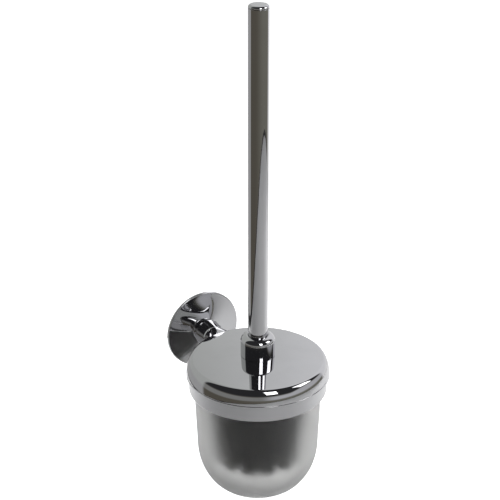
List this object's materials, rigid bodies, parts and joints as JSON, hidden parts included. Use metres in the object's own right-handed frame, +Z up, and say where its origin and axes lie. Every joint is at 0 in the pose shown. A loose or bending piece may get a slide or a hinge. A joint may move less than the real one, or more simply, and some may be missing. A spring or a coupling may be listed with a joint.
{
  "type": "toilet brush holder",
  "caption": "Wall-mounted toilet brush set: round rosette and arm, ring holding a satin glass tumbler, and a lidded brush with a straight tube handle.",
  "frame": {"origin": "centre of the wall plate's back face, on the wall, on the arm's axis", "axes": "+Y into the wall, +X to the right for someone facing the wall, +Z up along the handle"},
  "size_m": [0.11, 0.143, 0.3868],
  "materials": {
    "chrome": "mirror-bright chrome plate",
    "steel": "plain zinc-plated or stainless steel, hidden",
    "clear_plastic": "natural white moulded plastic",
    "satin_glass": "acid-etched satin glass",
    "brush_core": "dark grey moulded plastic",
    "bristle": "dark grey nylon bristle"
  },
  "bodies": {
    "wall_bracket": {"wall_plate": "steel", "wall_post": "steel", "rosette_cover": "chrome", "arm_sleeve": "chrome", "grub_screw": "steel", "arm_stud": "steel", "holder_ring": "chrome"},
    "seat": {"seat_ring": "clear_plastic"},
    "tumbler": {"glass_tumbler": "satin_glass"},
    "brush": {"lid_cap": "chrome", "lid_liner": "clear_plastic", "lid_washer": "steel", "lid_nut": "steel", "collar": "chrome", "handle_tube": "chrome", "handle_cap": "chrome", "handle_insert": "steel", "brush_rod": "steel", "brush_core": "brush_core", "bristle_row_1": "bristle", "bristle_row_2": "bristle", "bristle_row_3": "bristle", "bristle_row_4": "bristle", "bristle_row_5": "bristle", "bristle_row_6": "bristle", "bristle_tip": "bristle"}
  },
  "joints": [
    {"name": "tumbler_turn", "type": "hinge", "parent": "wall_bracket", "child": "seat", "pos_m": [0, -0.088, -0.0015], "axis": [0, 0, 1], "continuous": true},
    {"name": "tumbler_lift", "type": "slide", "parent": "seat", "child": "tumbler", "axis": [0, 0, 1], "range_m": [0, 0.11]},
    {"name": "brush_lift", "type": "slide", "parent": "tumbler", "child": "brush", "axis": [0, 0, 1], "range_m": [0, 0.12]}
  ]
}
